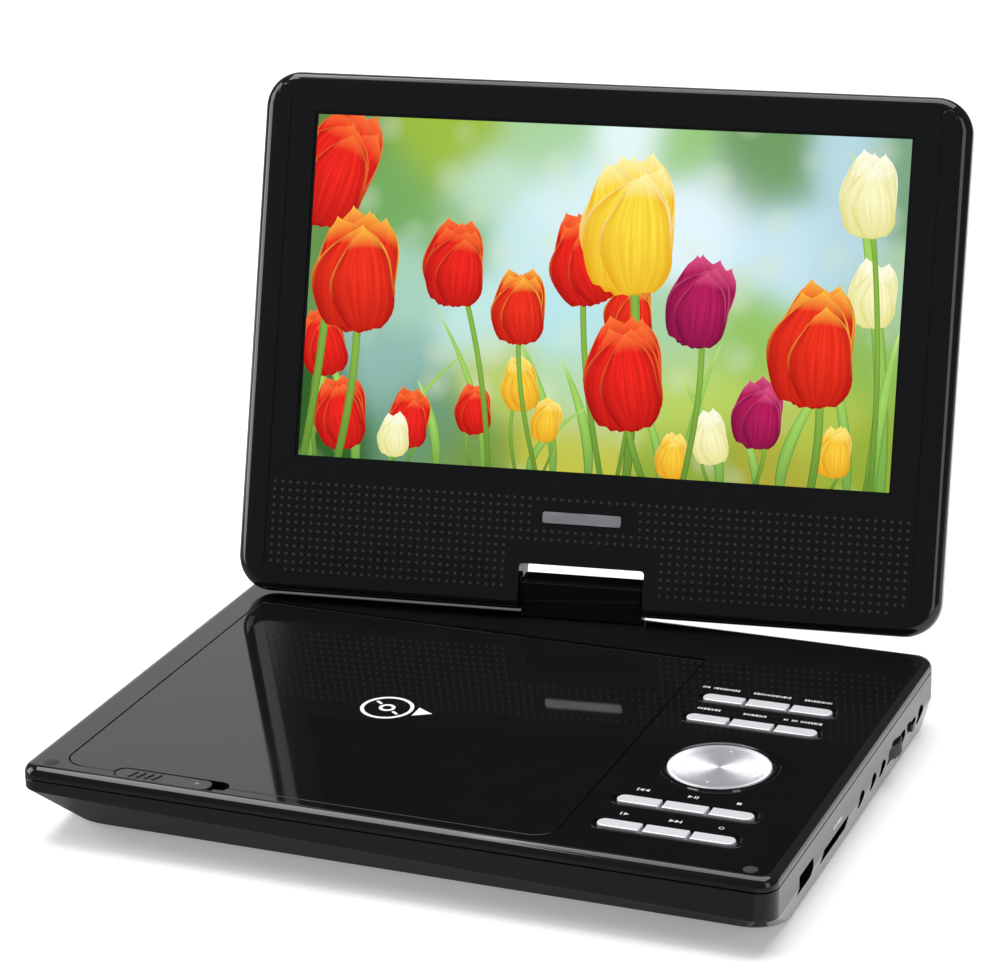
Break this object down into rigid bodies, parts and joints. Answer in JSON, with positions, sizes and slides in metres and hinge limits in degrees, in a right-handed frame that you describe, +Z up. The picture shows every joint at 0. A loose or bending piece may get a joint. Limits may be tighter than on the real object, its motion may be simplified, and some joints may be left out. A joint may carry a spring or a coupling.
{
  "type": "portable dvd player",
  "caption": "Flat disc player with a hinged screen that swivels and tilts, a top disc door, silver keys and side sockets.",
  "frame": {"origin": "on the table, under the middle of the base (mount base_centre)", "axes": "+X to the player's right side with the sockets, +Y to the rear hinge, +Z up"},
  "size_m": [0.2437, 0.2431, 0.1916],
  "materials": {
    "black_shell": "high-gloss black moulded plastic",
    "black_matte": "fine-textured black plastic",
    "rubber": "soft black rubber",
    "membrane": "pale silicone rubber",
    "silver_plastic": "silver-lacquered plastic, satin",
    "steel": "bare stamped steel",
    "bright_pin": "polished steel",
    "brass": "bare brass",
    "board": "green circuit board",
    "battery": "wrapped battery cells",
    "screen": "lit picture behind clear gloss sheet",
    "panel": "folded aluminium frame",
    "plate": "satin blank plate"
  },
  "bodies": {
    "base": {"base_bottom": "black_shell", "base_top": "black_shell", "disc_well": "black_matte", "battery_cover": "black_matte", "battery_pack": "battery", "main_board": "board", "keypad_board": "board", "keypad_membrane": "membrane", "usb_socket": "steel", "card_socket": "steel", "phone_jacks": "black_matte", "dc_jack": "black_matte", "power_switch": "steel", "volume_control": "black_matte", "rubber_feet": "rubber", "base_screws": "steel", "deck_bumpers": "rubber", "nav_ring": "black_shell", "door_hinge_pins": "bright_pin", "door_spring": "steel", "traverse_chassis": "steel", "dampers": "rubber", "guide_rods": "bright_pin", "spindle_motor": "steel", "sled_motor": "steel", "swivel_bearing": "steel"},
    "swivel": {"swivel_shaft": "bright_pin", "swivel_nut": "steel", "hinge_block": "black_shell", "tilt_pins": "bright_pin"},
    "lid": {"lid_hinge_brackets": "steel", "lid_bezel": "black_shell", "lid_back": "black_shell", "lcd_panel": "panel", "screen_glass": "screen", "speakers": "black_matte", "nameplate": "plate", "lid_screws": "steel", "lid_corner_plugs": "black_matte"},
    "door": {"disc_door": "black_shell"},
    "slider": {"release_slider": "black_matte"},
    "hub": {"turntable_hub": "black_matte"},
    "pickup": {"optical_pickup": "black_matte"},
    "screw": {"lead_screw": "brass"},
    "knob": {"switch_knob": "black_matte"},
    "wheel": {"volume_wheel": "black_matte"},
    "navstem": {"nav_stem": "black_matte"},
    "navdisc": {"nav_disc": "silver_plastic"},
    "option_button_1_body": {"option_button_1": "silver_plastic"},
    "option_button_2_body": {"option_button_2": "silver_plastic"},
    "option_button_3_body": {"option_button_3": "silver_plastic"},
    "menu_button_1_body": {"menu_button_1": "silver_plastic"},
    "menu_button_2_body": {"menu_button_2": "silver_plastic"},
    "menu_button_3_body": {"menu_button_3": "silver_plastic"},
    "play_button_1_body": {"play_button_1": "silver_plastic"},
    "play_button_2_body": {"play_button_2": "silver_plastic"},
    "play_button_3_body": {"play_button_3": "silver_plastic"},
    "skip_button_1_body": {"skip_button_1": "silver_plastic"},
    "skip_button_2_body": {"skip_button_2": "silver_plastic"},
    "skip_button_3_body": {"skip_button_3": "silver_plastic"}
  },
  "joints": [
    {"name": "lid_swivel", "type": "hinge", "parent": "base", "child": "swivel", "pos_m": [0, 0.081, 0.02], "axis": [0, 0, 1], "range_deg": [-7.9, 172.1]},
    {"name": "lid_tilt", "type": "hinge", "parent": "swivel", "child": "lid", "pos_m": [0, 0.081, 0.0325], "axis": [0.9905, 0.1374, 0], "range_deg": [-70.5, 109.5]},
    {"name": "disc_door", "type": "hinge", "parent": "base", "child": "door", "pos_m": [0, 0.0572, 0.0232], "axis": [1, 0, 0], "range_deg": [-65, 0]},
    {"name": "door_release", "type": "slide", "parent": "base", "child": "slider", "axis": [1, 0, 0], "range_m": [0, 0.0045], "stiffness_N_per_m": 120, "springref_m": -0.002},
    {"name": "disc_hub", "type": "hinge", "parent": "base", "child": "hub", "pos_m": [-0.0285, -0.01, 0.0187], "axis": [0, 0, 1], "continuous": true},
    {"name": "pickup_travel", "type": "slide", "parent": "base", "child": "pickup", "axis": [1, 0, 0], "range_m": [0, 0.029]},
    {"name": "lead_screw", "type": "hinge", "parent": "base", "child": "screw", "pos_m": [0, 0.016, 0.0122], "axis": [1, 0, 0], "range_deg": [-3500, 20]},
    {"name": "power_slide", "type": "slide", "parent": "base", "child": "knob", "axis": [0, 1, 0], "range_m": [0, 0.003]},
    {"name": "volume_wheel", "type": "hinge", "parent": "base", "child": "wheel", "pos_m": [0.109, 0.041, 0.012], "axis": [0, 0, 1], "range_deg": [-140, 140]},
    {"name": "nav_tilt_front", "type": "hinge", "parent": "base", "child": "navstem", "pos_m": [0.0798, -0.0184, 0.0222], "axis": [1, 0, 0], "range_deg": [-2, 2], "stiffness_Nm_per_rad": 0.4},
    {"name": "nav_tilt_side", "type": "hinge", "parent": "navstem", "child": "navdisc", "pos_m": [0.0798, -0.0184, 0.0222], "axis": [0, 1, 0], "range_deg": [-2, 2], "stiffness_Nm_per_rad": 0.4},
    {"name": "option_button_1_press", "type": "slide", "parent": "base", "child": "option_button_1_body", "axis": [0, 0, -1], "range_m": [0, 0.0005], "stiffness_N_per_m": 600, "springref_m": -0.0002},
    {"name": "option_button_2_press", "type": "slide", "parent": "base", "child": "option_button_2_body", "axis": [0, 0, -1], "range_m": [0, 0.0005], "stiffness_N_per_m": 600, "springref_m": -0.0002},
    {"name": "option_button_3_press", "type": "slide", "parent": "base", "child": "option_button_3_body", "axis": [0, 0, -1], "range_m": [0, 0.0005], "stiffness_N_per_m": 600, "springref_m": -0.0002},
    {"name": "menu_button_1_press", "type": "slide", "parent": "base", "child": "menu_button_1_body", "axis": [0, 0, -1], "range_m": [0, 0.0005], "stiffness_N_per_m": 600, "springref_m": -0.0002},
    {"name": "menu_button_2_press", "type": "slide", "parent": "base", "child": "menu_button_2_body", "axis": [0, 0, -1], "range_m": [0, 0.0005], "stiffness_N_per_m": 600, "springref_m": -0.0002},
    {"name": "menu_button_3_press", "type": "slide", "parent": "base", "child": "menu_button_3_body", "axis": [0, 0, -1], "range_m": [0, 0.0005], "stiffness_N_per_m": 600, "springref_m": -0.0002},
    {"name": "play_button_1_press", "type": "slide", "parent": "base", "child": "play_button_1_body", "axis": [0, 0, -1], "range_m": [0, 0.0005], "stiffness_N_per_m": 600, "springref_m": -0.0002},
    {"name": "play_button_2_press", "type": "slide", "parent": "base", "child": "play_button_2_body", "axis": [0, 0, -1], "range_m": [0, 0.0005], "stiffness_N_per_m": 600, "springref_m": -0.0002},
    {"name": "play_button_3_press", "type": "slide", "parent": "base", "child": "play_button_3_body", "axis": [0, 0, -1], "range_m": [0, 0.0005], "stiffness_N_per_m": 600, "springref_m": -0.0002},
    {"name": "skip_button_1_press", "type": "slide", "parent": "base", "child": "skip_button_1_body", "axis": [0, 0, -1], "range_m": [0, 0.0005], "stiffness_N_per_m": 600, "springref_m": -0.0002},
    {"name": "skip_button_2_press", "type": "slide", "parent": "base", "child": "skip_button_2_body", "axis": [0, 0, -1], "range_m": [0, 0.0005], "stiffness_N_per_m": 600, "springref_m": -0.0002},
    {"name": "skip_button_3_press", "type": "slide", "parent": "base", "child": "skip_button_3_body", "axis": [0, 0, -1], "range_m": [0, 0.0005], "stiffness_N_per_m": 600, "springref_m": -0.0002}
  ],
  "couplings": [
    {"joint": "lead_screw", "follows": "pickup_travel", "rad_per_m": -2094.4}
  ]
}
